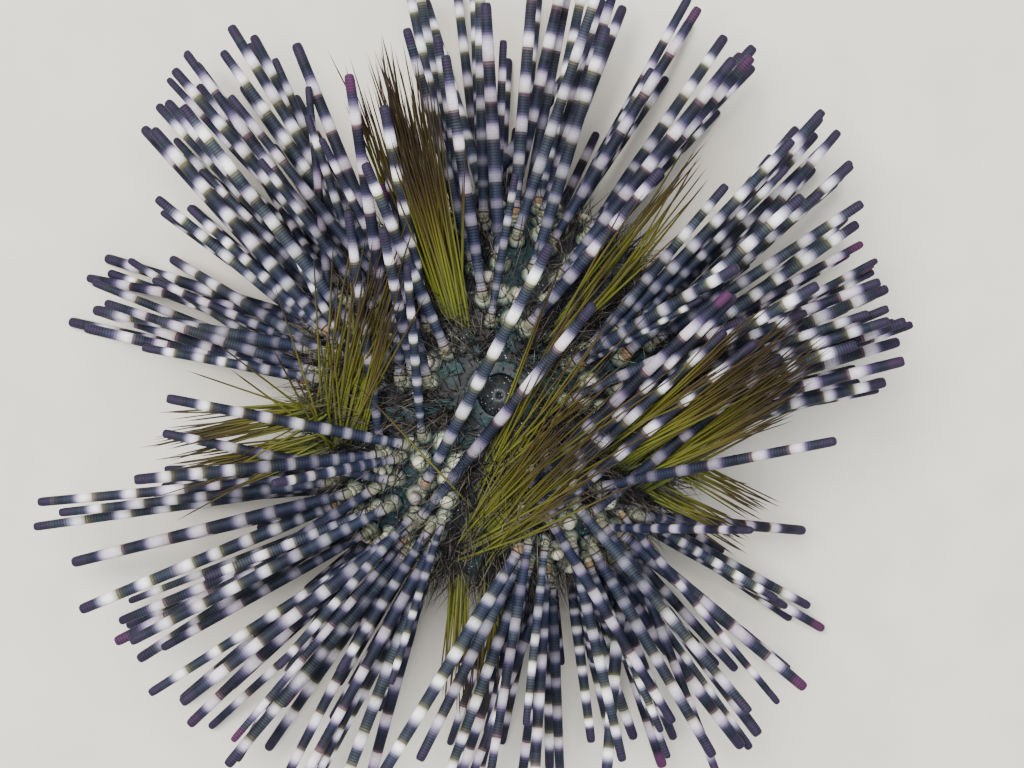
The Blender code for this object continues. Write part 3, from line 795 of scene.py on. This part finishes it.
def planted(name, form, seats, root=0.0, tip=0.0, strips=0):
    """One mesh of many copies of a form, each stretched between its root and its tip to a length of its own.

    A seat is a foot, a way, a length, a radius, a turn about itself, a tone and a strip of the baking map.
    The form keeps its own heights up to root and within tip of its end.
    """
    mesh = form.data
    points = np.array([point.co[:] for point in mesh.vertices])
    reach, bearing = np.hypot(points[:, 0], points[:, 1]), np.arctan2(points[:, 1], points[:, 0])
    tall, wide = points[:, 2].max(), float(reach.max())
    faces = [list(face.vertices) for face in mesh.polygons]
    corners = [corner for face in faces for corner in face]
    turn = bearing / (2 * math.pi) % 1
    around = []
    for face in faces:
        here = turn[face]
        if len(face) < 5 and here.max() - here.min() > 0.5:
            here = np.where(here < 0.5, here + 1, here)
        around.extend(here)
    around = np.array(around)
    foot, way, length, radius, twist, tone, strip = [np.array(column) for column in zip(*seats)]
    tall_now = length[:, None]
    height = points[None, :, 2]
    stretch = (tall_now - root - tip) / max(tall - root - tip, 1e-9)
    along = np.where(height <= root, height, root + (height - root) * stretch)
    along = np.where(height >= tall - tip - 1e-9, tall_now - (tall - height), along)
    bearing = bearing[None, :] + twist[:, None]
    out = reach[None, :] * (radius / wide)[:, None]
    helper = np.where(np.abs(way[:, 2:3]) < 0.9, np.array([[0.0, 0.0, 1.0]]), np.array([[1.0, 0.0, 0.0]]))
    side = unit(np.cross(helper, way))
    other = np.cross(way, side)
    placed = (foot[:, None, :] + way[:, None, :] * along[..., None]
              + side[:, None, :] * (out * np.cos(bearing))[..., None]
              + other[:, None, :] * (out * np.sin(bearing))[..., None]) + axis
    placed[..., 2] = np.maximum(placed[..., 2], 0)
    count, size = len(seats), len(points)
    made = bpy.data.meshes.new(name)
    every_face = [[corner + number * size for corner in face] for number in range(count) for face in faces]
    made.from_pydata(placed.reshape(-1, 3).tolist(), [], every_face)
    for label, values in (("span", length), ("tone", tone)):
        note_values(made, label, np.repeat(values, size).astype(np.float32))
    shaft = np.stack([along[:, corners], np.broadcast_to(around, (count, len(corners)))], axis=-1)
    made.uv_layers.new(name="Shaft").data.foreach_set("uv", shaft.reshape(-1).astype(np.float32))
    if strips:
        baked = np.empty_like(shaft)
        baked[..., 0] = 0.01 + 0.98 * (shaft[..., 0] - along.min()) / (along.max() - along.min())
        baked[..., 1] = (strip[:, None] + 0.12 + 0.76 * shaft[..., 1] % 1.26) / strips
        made.uv_layers.new(name="OFBake").data.foreach_set("uv", baked.reshape(-1).astype(np.float32))
    made.shade_smooth()
    bpy.data.objects.remove(form, do_unlink=True)
    return linked(name, made)


knob = drawn_form(KNOB_OUTLINE, 12, KNOB_TOP)
knob_draw = random.Random(31)


def knob_seat(place, normal, height, radius):
    return place, normal, height, radius, knob_draw.uniform(0, 6), knob_draw.random(), 0


seats = []
for spine in banded:
    share = max(spine.radius / STOUT_RADIUS, KNOB_LEAST)
    seats.append(knob_seat(spine.place, spine.normal, KNOB_TOP, KNOB_RADIUS * share))
taken = [spine.place for spine in banded]
for number in range(BARE_TRIES):
    sector = knob_draw.choice(WIDE_AT + (226, 298))
    down = knob_draw.uniform(*BARE_DOWN)
    half = WIDE_HALF - math.degrees(BARE_MARGIN / ring_at(down))
    place, normal = on_test(down, sector + knob_draw.uniform(-1, 1) * half)
    if min(np.linalg.norm(place - other) for other in taken) < BARE_SPACING:
        continue
    taken.append(place)
    seats.append(knob_seat(place, normal, KNOB_TOP * BARE_GROWTH, BARE_RADIUS))
knobs = planted("tubercles", knob, seats)

knob_finish, shade = new_finish("tubercle")
height = shade.shaft()
tone = shade.attribute("tone")
patchy = shade.cloud(700, 4.0)
dots = shade.pebbles(2200).between(0.16, 0.1) * shade.cloud(800).between(0.5, 0.6)
# Up the knob: dark skin at the foot, a pale shoulder ring, a dark ring at the neck under the ball that is
# painted shade, and the ball, paler towards its top.
pale = (height * 450).ramp(
    (0.0, 0.008, 0.01, 0.014), (0.08, 0.022, 0.034, 0.034), (0.24, 0.085, 0.115, 0.085),
    (0.31, 0.2, 0.23, 0.16), (0.36, 0.06, 0.07, 0.045), (0.48, 0.17, 0.175, 0.12), (0.7, 0.3, 0.3, 0.22),
    (0.92, 0.42, 0.41, 0.34),
)
worn = (patchy * 0.9 + tone * 0.4).ramp(
    (0.4, 0.3, 0.28, 0.34), (0.6, 0.72, 0.7, 0.66), (0.85, 1.05, 1.05, 1.05),
)
pale = pale.blend("MULTIPLY", worn)
color = (dots * height.between(0.0003, 0.0006)).mix(pale, (0.015, 0.014, 0.016))
finish_with(knob_finish, base_color=color, roughness=patchy * 0.3 + 0.3,
            normal=shade.bump(shade.cloud(2200, 3.0), 0.00008))
add_up(knobs, "skin", knob_finish)

# The banded spines: hollow calcite rods with a collar at the foot and fine rings of thorns all along, over
# which a thin skin lays dark bands that grow wider towards the blunt tip. They fan out from each wide zone.
SPINE_OUTLINE = (
    (-0.0005, 0.00088), (0.0004, 0.00116), (0.0011, 0.00118), (0.0018, 0.00098), (0.015, 0.00125),
    (0.0566, 0.00103), (0.0573, 0.00094), (0.0576, 0.00068),
)
SLIMMER = 0.9
SPINE_ROOT = 0.003
SPINE_TIP = 0.0016
YOUNG_PITCH = 0.0017
YOUNG_SPREAD = 0.0022
OLD_PITCH = 0.0082
OLD_SPREAD = 0.003
SETTLING = 0.021
RIDGE_PITCH = 0.00052
FURROWS = 22

banded_finish, shade = new_finish("banded spine", gloss=0.12)
along, around = shade.shaft(), shade.shaft(1)
span, tone = shade.attribute("span"), shade.attribute("tone")
second_tone, third_tone, fourth_tone = [shade.math("FRACT", tone * times) for times in (17.3, 91.7, 47.9)]
size = shade.math("POWER", span / SPINE_LONGEST, 0.55)
young = (second_tone * YOUNG_SPREAD + YOUNG_PITCH) * size
old = (third_tone * OLD_SPREAD + OLD_PITCH) * size


def bands_up_to(distance):
    """How many bands lie between a spine's foot and a distance along it. They widen, then stay as wide."""
    here = old - (old - young) * shade.math("EXPONENT", distance * (-1 / SETTLING))
    return (distance + shade.math("LOGARITHM", here / young, math.e) * SETTLING) / old


lane = shade.vector(along * 110, tone * 900)
wander = shade.node("TexNoise", {"noise_dimensions": "2D"}, {"Vector": lane, "Scale": 1.0, "Detail": 1.0})
turns = bands_up_to(along) - bands_up_to(span) + (0.95 - tone * 0.25) + wander * 0.5 + 40
cycle = shade.math("FRACT", turns)
band_number = shade.vector(shade.math("FLOOR", turns + 0.3), tone * 57.0)
chance = shade.node("TexWhiteNoise", {"noise_dimensions": "2D"}, {"Vector": band_number})
slate = cycle.ramp(
    (0.0, 0.17, 0.165, 0.105), (0.05, 0.44, 0.43, 0.35), (0.11, 0.7, 0.69, 0.66), (0.18, 0.83, 0.83, 0.84),
    (0.26, 0.76, 0.76, 0.82), (0.33, 0.48, 0.46, 0.56), (0.4, 0.2, 0.185, 0.26), (0.46, 0.062, 0.058, 0.092),
    (0.53, 0.014, 0.015, 0.03), (0.7, 0.009, 0.012, 0.02), (0.84, 0.015, 0.018, 0.02),
    (0.91, 0.03, 0.03, 0.02), (0.97, 0.08, 0.076, 0.042),
)
violet = cycle.ramp(
    (0.0, 0.34, 0.28, 0.26), (0.06, 0.54, 0.49, 0.5), (0.18, 0.64, 0.6, 0.66), (0.27, 0.56, 0.51, 0.61),
    (0.34, 0.32, 0.27, 0.38), (0.41, 0.09, 0.07, 0.135), (0.48, 0.018, 0.014, 0.038),
    (0.62, 0.0045, 0.0045, 0.013), (0.8, 0.005, 0.0035, 0.009), (0.91, 0.014, 0.008, 0.014),
    (0.97, 0.085, 0.05, 0.056),
)
bands = third_tone.between(0.35, 0.75).mix(slate, violet)
# The bands dim towards the foot, to an eighth at the test: a little of it is their own fading near the base,
# most of it painted shade under the spines lying above.
scaled_from_foot = along / size + fourth_tone * 0.014 - 0.007
foot_fade_and_shade = scaled_from_foot.ramp(
    (0.0, 0.12, 0.115, 0.13), (0.008, 0.15, 0.145, 0.165), (0.014, 0.23, 0.225, 0.25),
    (0.02, 0.4, 0.395, 0.42), (0.028, 0.7, 0.69, 0.71), (0.038, 0.94, 0.94, 0.94), (0.046, 1.0, 1.0, 1.0),
)
dull = (chance * 0.6 + fourth_tone * 0.4).ramp(
    (0.1, 0.48, 0.44, 0.49), (0.4, 0.76, 0.73, 0.77), (0.7, 1.0, 1.0, 1.0), (1.0, 1.1, 1.1, 1.05),
)
lift = (chance * 0.5 + second_tone * 0.5).ramp(
    (0.2, 0.002, 0.003, 0.005), (0.6, 0.005, 0.007, 0.011), (0.9, 0.014, 0.018, 0.02),
)
blue = along.ramp((0.004, 0.005, 0.007, 0.019), (0.024, 0.0, 0.0, 0.0))
bands = bands.blend("MULTIPLY", foot_fade_and_shade).blend("MULTIPLY", dull).blend("ADD", lift).blend("ADD", blue)
collar = fourth_tone.between(0.72, 0.9).mix((0.13, 0.135, 0.1), (0.18, 0.12, 0.07))
groove = along.between(0.0008, 0.001) * along.between(0.0013, 0.0011)
root = groove.mix(along.between(0.0009, 0.0015).mix(collar, (0.16, 0.145, 0.18)), (0.022, 0.016, 0.014))
color = along.between(0.0016, 0.003).mix(root, bands)
tip_color = third_tone.between(0.86, 0.98).mix((0.017, 0.013, 0.029), (0.05, 0.014, 0.045))
color = (span - along).between(0.0036, 0.0022).mix(color, tip_color)
ridge = shade.math("SINE", along * (2 * math.pi / RIDGE_PITCH))
furrow = shade.math("SINE", around * (2 * math.pi * FURROWS))
worn = shade.cloud(1300, 4.0)
# The colour is lighter on the crests of the rings of thorns and in stripes along the lengthwise furrows, and
# darker between them, most on the dark bands: painted light and shade of the relief. The worn noise mottles
# it as wear.
ridge_light_strength = second_tone.between(0.2, 0.8) * cycle.between(0.3, 0.55)
ridge_light_and_wear = ridge * (ridge_light_strength * 0.36 + 0.03) + furrow * 0.05 + (worn - 0.5) * 0.6 + 1.0
color = color.blend("MULTIPLY", shade.vector(ridge_light_and_wear, ridge_light_and_wear, ridge_light_and_wear))
finish_with(banded_finish, base_color=color, roughness=worn * 0.2 + 0.45,
            normal=shade.bump(ridge * 0.6 + furrow * 0.25 + worn * 0.5, 0.00003))

spine_draw = random.Random(41)
for number, sector in enumerate(WIDE_AT, 1):
    own = [spine for spine in banded if spine.sector == sector]
    seats = [(spine.joint, spine.way, spine.length, spine.radius * SLIMMER, spine_draw.uniform(0, 6),
              spine_draw.random(), strip) for strip, spine in enumerate(own)]
    form = drawn_form(SPINE_OUTLINE, 10, None)
    piece = planted(f"banded_spines_{number}", form, seats, SPINE_ROOT, SPINE_TIP, len(own))
    add_up(piece, "banded_spines", banded_finish, f"interambulacrum_{number}")

# The needles: hair-fine, hollow and sharp, olive at the root and brown at the point. They lean together in
# tufts on the narrow zones.
NEEDLE_OUTLINE = ((-0.0004, 0.0002), (0.0006, 0.00026), (0.01, 0.00021), (0.028, 0.00013))
NEEDLE_ROOT = 0.0006
NEEDLE_TIP = 0.032
NEEDLE_SUNK = 0.0012
NEEDLE_STRIPS = 24

needle_finish, shade = new_finish("needle", gloss=0.2)
along = shade.shaft()
share = along / shade.attribute("span")
tone = shade.attribute("tone")
olive = share.ramp(
    (0.0, 0.06, 0.072, 0.018), (0.15, 0.092, 0.105, 0.014), (0.5, 0.075, 0.072, 0.01),
    (0.75, 0.038, 0.027, 0.008), (1.0, 0.01, 0.006, 0.006),
)
brown = share.ramp(
    (0.0, 0.06, 0.07, 0.028), (0.3, 0.075, 0.075, 0.018), (0.6, 0.048, 0.034, 0.01),
    (0.85, 0.018, 0.01, 0.007), (1.0, 0.008, 0.005, 0.006),
)
color = tone.between(0.5, 1.0).mix(olive, brown)
finish_with(needle_finish, base_color=color, roughness=share * 0.15 + 0.3)

needle_draw = random.Random(53)
for number, sector in enumerate(NARROW_AT, 1):
    seats = []
    for spine in all_needles:
        if spine.sector == sector:
            strip = needle_draw.randrange(NEEDLE_STRIPS)
            radius = needle_draw.uniform(*NEEDLE_RADIUS)
            seats.append((spine.joint - spine.normal * NEEDLE_SUNK, spine.way, spine.length, radius, 0.0,
                          (strip + 0.5) / NEEDLE_STRIPS, strip))
    form = drawn_form(NEEDLE_OUTLINE, 5, NEEDLE_TIP)
    piece = planted(f"needles_{number}", form, seats, NEEDLE_ROOT, 0.0, NEEDLE_STRIPS)
    add_up(piece, "fine_spines", needle_finish, f"ambulacrum_{number}")

# The hairs: the finest spines, nearly black, which stand as a short fur between the knobs and along the
# needles. Fewer grow on the bare middle of a wide zone.
HAIR_OUTLINE = ((-0.0003, 0.00011), (0.0035, 0.00009))
HAIR_TIP = 0.008
HAIR_COUNT = 7500
HAIR_DOWN = (0.0068, 0.064)
HAIR_LENGTH = (0.003, 0.011)
HAIR_RADIUS = (0.00007, 0.00012)
HAIR_FREE = 0.002
HAIR_LOST = 0.7
HAIR_STRIPS = 8

hair_finish, shade = new_finish("dark hair", gloss=0.4, roughness=0.4)
color = shade.attribute("tone").ramp(
    (0.0, 0.006, 0.007, 0.012), (0.5, 0.018, 0.014, 0.015), (0.8, 0.06, 0.046, 0.032),
    (1.0, 0.13, 0.11, 0.075),
)
finish_with(hair_finish, base_color=color)

hair_draw = random.Random(67)
seats = []
for number in range(HAIR_COUNT):
    azimuth, down = hair_draw.uniform(0, 360), hair_draw.uniform(*HAIR_DOWN)
    place, normal = on_test(down, azimuth)
    aside = min(angle_between(azimuth, wide) for wide in WIDE_AT)
    from_middle = math.hypot(place[0], place[1]) * math.radians(aside)
    if from_middle < HAIR_FREE and hair_draw.random() < HAIR_LOST:
        continue
    lean = pointing(azimuth + hair_draw.gauss(0, 60), hair_draw.gauss(0, 30))
    way = unit(normal * hair_draw.uniform(0.5, 1.0) + lean * 0.8)
    strip = hair_draw.randrange(HAIR_STRIPS)
    seats.append((place, way, hair_draw.uniform(*HAIR_LENGTH), hair_draw.uniform(*HAIR_RADIUS), 0.0,
                  (strip + 0.5) / HAIR_STRIPS, strip))
hairs = planted("hairs", drawn_form(HAIR_OUTLINE, 3, HAIR_TIP), seats, 0.0, 0.0, HAIR_STRIPS)
add_up(hairs, "fine_spines", hair_finish)

# The cap at the top: five large plates with a pore each and five small ones between their outer ends, of
# calcite under dark skin, round the dish in which the cone stands.
CAP_FACETS = 80
CAP_THICKNESS = 0.003
PLATE_RIM = 0.0051
RIM_RISE = 0.0002
PLATE_RISE = 0.0003
DISH_RADIUS = 0.0037
DISH_LIP = 0.0002
DISH_DEPTH = 0.0014
SEAM = 0.00013
PLATE_HALF = 35.9
PLATE_END_HALF = 24.6
SMALL_PLATE_HALF = 11.2
PORE_HALF = 4
PORE_RIM = 0.00035
PORE_DEPTH = 0.0003
PLATE_WAVER = 0.045
PLATE_GRAIN = 0.00022
cap_top = WAIST_HEIGHT + TEST_RISE * math.cos(math.asin(CAP_RADIUS / TEST_RADIUS))

bpy.ops.mesh.primitive_cylinder_add(vertices=CAP_FACETS, radius=CAP_RADIUS, depth=CAP_THICKNESS,
                                    end_fill_type="NGON", location=(0, 0, cap_top - CAP_THICKNESS / 2))
apical_plates = made_piece("apical_plates")
bpy.ops.object.transform_apply(location=True)
pick(apical_plates, lambda point: point.z > cap_top - 1e-6)
inset(CAP_RADIUS - PLATE_RIM, RIM_RISE)
inset(PLATE_RIM - DISH_RADIUS, PLATE_RISE)
inset(DISH_LIP, -DISH_DEPTH)


def on_ring(point, low, high, azimuth, half):
    """Whether a point of the cap's top lies between two radii and within half an angle of an azimuth."""
    turned = angle_between(math.degrees(math.atan2(point.y, point.x)), azimuth)
    return low < from_axis(point) < high and point.z > cap_top - 0.0002 and turned < half


for azimuth in WIDE_AT:
    pick(apical_plates, lambda point: on_ring(point, DISH_RADIUS, PLATE_RIM, azimuth, PLATE_HALF)
         or on_ring(point, PLATE_RIM, CAP_RADIUS, azimuth, PLATE_END_HALF))
    inset(SEAM, SEAM)
for azimuth in NARROW_AT:
    pick(apical_plates, lambda point: on_ring(point, PLATE_RIM, CAP_RADIUS, azimuth, SMALL_PLATE_HALF))
    inset(SEAM, SEAM)
for azimuth in WIDE_AT:
    pick(apical_plates, lambda point: on_ring(point, DISH_RADIUS + 2 * SEAM, PLATE_RIM, azimuth, PORE_HALF))
    inset(PORE_RIM, 0)
    draw_out(-PORE_DEPTH)
made_piece("apical_plates")
subdivide(apical_plates, 2)
for point in apical_plates.data.vertices:
    if point.co.z > cap_top - CAP_SEAT:
        rough = noise.noise(point.co * 260) + 0.5 * noise.noise(point.co * 700)
        point.co.x *= 1 + PLATE_WAVER * rough * (from_axis(point.co) > DISH_RADIUS)
        point.co.y *= 1 + PLATE_WAVER * rough * (from_axis(point.co) > DISH_RADIUS)
        point.co.z += PLATE_GRAIN * noise.noise(point.co * 500 + Vector((3, 1, 2)))
settle_at_axis(apical_plates)

plate_finish, shade = new_finish("dark plates", gloss=0.25)
mottle = shade.cloud(600, 5.0)
grains = shade.pebbles(1800).between(0.22, 0.12)
color = mottle.ramp(
    (0.32, 0.003, 0.004, 0.007), (0.48, 0.006, 0.012, 0.016), (0.6, 0.01, 0.03, 0.034),
    (0.74, 0.03, 0.05, 0.048),
)
color = (grains * shade.cloud(400).between(0.48, 0.62)).mix(color, (0.24, 0.25, 0.2))
finish_with(plate_finish, base_color=color, roughness=mottle * 0.3 + 0.3,
            normal=shade.bump(grains + shade.cloud(2500) * 0.6, 0.00008))
add_up(apical_plates, "skin", plate_finish, "apical_disc")

# The cone in the dish: a soft dark sac, folded lengthwise, with pale dots on its sides and the vent in its
# sunken top.
CONE_OUTLINE = (
    (-0.0009, 0.00365), (-0.0001, 0.00374), (0.0004, 0.00345), (0.0012, 0.00305), (0.002, 0.0025),
    (0.0027, 0.00175), (0.0031, 0.00105), (0.003, 0.00055), (0.0024, 0.0003),
)
CONE_PIT = 0.0021
CONE_FACETS = 56
CONE_FOLDS = 14
FOLD_DEPTH = 0.045
CONE_WAVER = 0.06

anal_cone = drawn_form(CONE_OUTLINE, CONE_FACETS, CONE_PIT)
made_piece("vent_cone")
subdivide(anal_cone, 1)
for point in anal_cone.data.vertices:
    turn = math.atan2(point.co.y, point.co.x)
    fold = math.cos(turn * CONE_FOLDS + 1.5 * math.sin(turn * 3)) * min(1, max(0, point.co.z / 0.0012))
    swell = 1 + FOLD_DEPTH * fold + CONE_WAVER * noise.noise(point.co * 600)
    point.co.x *= swell
    point.co.y *= swell
    point.co.z += cap_top
settle_at_axis(anal_cone)

cone_finish, shade = new_finish("vent skin", gloss=0.3)
mottle = shade.cloud(1200, 4.0)
dots = shade.pebbles(1500).between(0.2, 0.13)
color = mottle.ramp((0.3, 0.006, 0.007, 0.01), (0.6, 0.022, 0.024, 0.027), (0.75, 0.06, 0.05, 0.038))
color = dots.mix(color, (0.42, 0.41, 0.36))
finish_with(cone_finish, base_color=color, roughness=mottle * 0.3 + 0.35,
            normal=shade.bump(mottle + dots * 0.5, 0.00012))
add_up(anal_cone, "skin", cone_finish, "anal_cone")

# The mouth skin: a soft ring of dark leathery skin, folded towards the teeth, with ten small pale plates set
# in it, two at the end of each narrow zone.
MOUTH_OUTLINE = (
    (-0.0038, 0.0094), (-0.0004, 0.0096), (0.0001, 0.0102), (0.0004, 0.0096), (0.0007, 0.0083),
    (0.001, 0.0069), (0.0013, 0.0056), (0.0016, 0.0047), (0.0015, 0.004), (0.001, 0.0036), (0.0002, 0.0037),
    (-0.003, 0.0041),
)
MOUTH_ROOF = -0.0032
MOUTH_FACETS = 120
MOUTH_FOLDS = 30
MOUTH_LIP = 0.004
FOLD_HEIGHT = 0.0002
PLATE_HEIGHT = 0.0004
MOUTH_GRAIN = 0.00022
PLATE_AT = 0.0064
PLATE_ASIDE = 10
PLATE_RADIUS = 0.00095
sill = WAIST_HEIGHT - TEST_DROP * math.cos(math.asin(MOUTH_RADIUS / TEST_RADIUS))

mouth_skin = drawn_form(MOUTH_OUTLINE, MOUTH_FACETS, MOUTH_ROOF)
made_piece("mouth_skin")
subdivide(mouth_skin, 1)
mouth_draw = random.Random(71)
plate_places = []
for azimuth in NARROW_AT:
    for side in (-PLATE_ASIDE, PLATE_ASIDE):
        turn = math.radians(azimuth + side + mouth_draw.gauss(0, 1.2))
        out = PLATE_AT + mouth_draw.gauss(0, 0.0002)
        radius = PLATE_RADIUS * mouth_draw.uniform(0.8, 1.1)
        plate_places.append((out * math.cos(turn), out * math.sin(turn), radius))
pale_share = []
for point in mouth_skin.data.vertices:
    out, turn = from_axis(point.co), math.atan2(point.co.y, point.co.x)
    wobble = 1 + 0.3 * noise.noise(point.co * 900)
    near = min(math.hypot(point.co.x - x, point.co.y - y) / radius for x, y, radius in plate_places) * wobble
    plate = 1 / (1 + near ** 6) if point.co.z > 0 else 0
    soft = min(1, max(0, (out - MOUTH_LIP) / 0.001)) * min(1, max(0, (MOUTH_RADIUS - out) / 0.001))
    drift = 1.6 * noise.noise(point.co * 350) + 1.2 * math.sin(out * 2500)
    ripple = 0.5 * math.sin(out * 5200 + 3 * noise.noise(point.co * 300))
    fold = math.cos(turn * MOUTH_FOLDS + drift) + ripple
    point.co.z += FOLD_HEIGHT * fold * soft * (1 - plate) + PLATE_HEIGHT * plate
    point.co.z += MOUTH_GRAIN * noise.noise(point.co * 1100) * soft
    point.co = (point.co.x, -point.co.y, sill - point.co.z)
    pale_share.append(plate)
note_values(mouth_skin.data, "pale", pale_share)
settle_at_axis(mouth_skin)

mouth_finish, shade = new_finish("mouth skin", gloss=0.45)
mottle = shade.cloud(1000, 5.0)
grains = shade.pebbles(1700).between(0.24, 0.14) * shade.cloud(500).between(0.42, 0.56)
dark = mottle.ramp(
    (0.3, 0.01, 0.008, 0.012), (0.52, 0.034, 0.023, 0.026), (0.66, 0.075, 0.052, 0.046),
    (0.8, 0.15, 0.115, 0.085),
)
light = mottle.ramp((0.3, 0.16, 0.14, 0.1), (0.55, 0.34, 0.3, 0.23), (0.75, 0.48, 0.45, 0.37))
color = shade.attribute("pale").between(0.3, 0.7).mix(grains.mix(dark, (0.3, 0.26, 0.2)), light)
finish_with(mouth_finish, base_color=color, roughness=mottle * 0.3 + 0.4,
            normal=shade.bump(mottle + shade.pebbles(2600) * 0.5, 0.00012))
add_up(mouth_skin, "skin", mouth_finish, "peristome")

# The five teeth: chisels of white calcite that meet at one point, stained at the gum and polished at the
# edge. They are the solids themselves, with a finish.
tooth_finish, shade = new_finish("tooth", gloss=0.6)
depth = shade.node("SeparateXYZ", None, {0: shade.place()}, 2)
streaks = shade.node("TexNoise", None, {
    "Vector": shade.node("Mapping", None, {"Vector": shade.place(), "Scale": (2600, 2600, 260)}),
    "Scale": 1.0, "Detail": 3.0})
ivory = streaks.ramp((0.3, 0.56, 0.5, 0.38), (0.6, 0.76, 0.72, 0.62), (0.8, 0.84, 0.82, 0.76))
color = (depth + streaks * 0.002).between(0.0078, 0.0112).mix(ivory, (0.3, 0.2, 0.12))
finish_with(tooth_finish, base_color=color, roughness=streaks * 0.3 + 0.15,
            normal=shade.bump(streaks, 0.00006))
for number in range(1, 6):
    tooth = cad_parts[f"tooth_{number}"]
    tooth.material_slots[0].material = tooth_finish

# The stage: a plain pale floor, soft daylight, a wide soft lamp over the left shoulder with a faint one from
# the right, and a camera that looks straight down.
DAYLIGHT = 1.15
EYE_HEIGHT = 0.46
FOCUS_HEIGHT = 0.02
PIXELS_PER_METRE = 5500
PHOTO_SIZE = (1024, 768)
AXIS_PIXEL = (500, 395)

bpy.ops.mesh.primitive_plane_add(size=4, location=(0, 0, 0))
floor = made_piece("floor")
floor_finish, shade = new_finish("pale floor", roughness=0.85)
color = shade.cloud(60).ramp((0.3, 0.54, 0.51, 0.45), (0.7, 0.6, 0.565, 0.5))
finish_with(floor_finish, base_color=color)
floor.data.materials.append(floor_finish)

world = bpy.data.worlds.new("soft daylight")
world.use_nodes = True
sky = world.node_tree.nodes["Background"].inputs
sky[0].default_value = (0.92, 0.96, 1.0, 1)
sky[1].default_value = DAYLIGHT
bpy.context.scene.world = world
for name, place, size, watts, tint in (("key", (-0.28, 0.26, 1.25), 0.8, 43.0, (1.0, 0.98, 0.94)),
                                       ("fill", (0.9, -0.5, 0.9), 1.0, 5.0, (0.9, 0.95, 1.0))):
    lamp = bpy.data.lights.new(name, "AREA")
    lamp.size, lamp.energy, lamp.color = size, watts, tint
    hung = linked(name, lamp)
    hung.location = place
    look = Vector((0, 0, FOCUS_HEIGHT)) - Vector(place)
    hung.rotation_euler = look.to_track_quat("-Z", "Y").to_euler()

lens = bpy.data.cameras.new("camera")
lens.sensor_width = 36
lens.lens = lens.sensor_width * (EYE_HEIGHT - FOCUS_HEIGHT) * PIXELS_PER_METRE / PHOTO_SIZE[0]
camera = linked("camera", lens)
camera.location = (axis[0] + (PHOTO_SIZE[0] / 2 - AXIS_PIXEL[0]) / PIXELS_PER_METRE,
                   axis[1] + (AXIS_PIXEL[1] - PHOTO_SIZE[1] / 2) / PIXELS_PER_METRE, EYE_HEIGHT)
bpy.context.scene.camera = camera
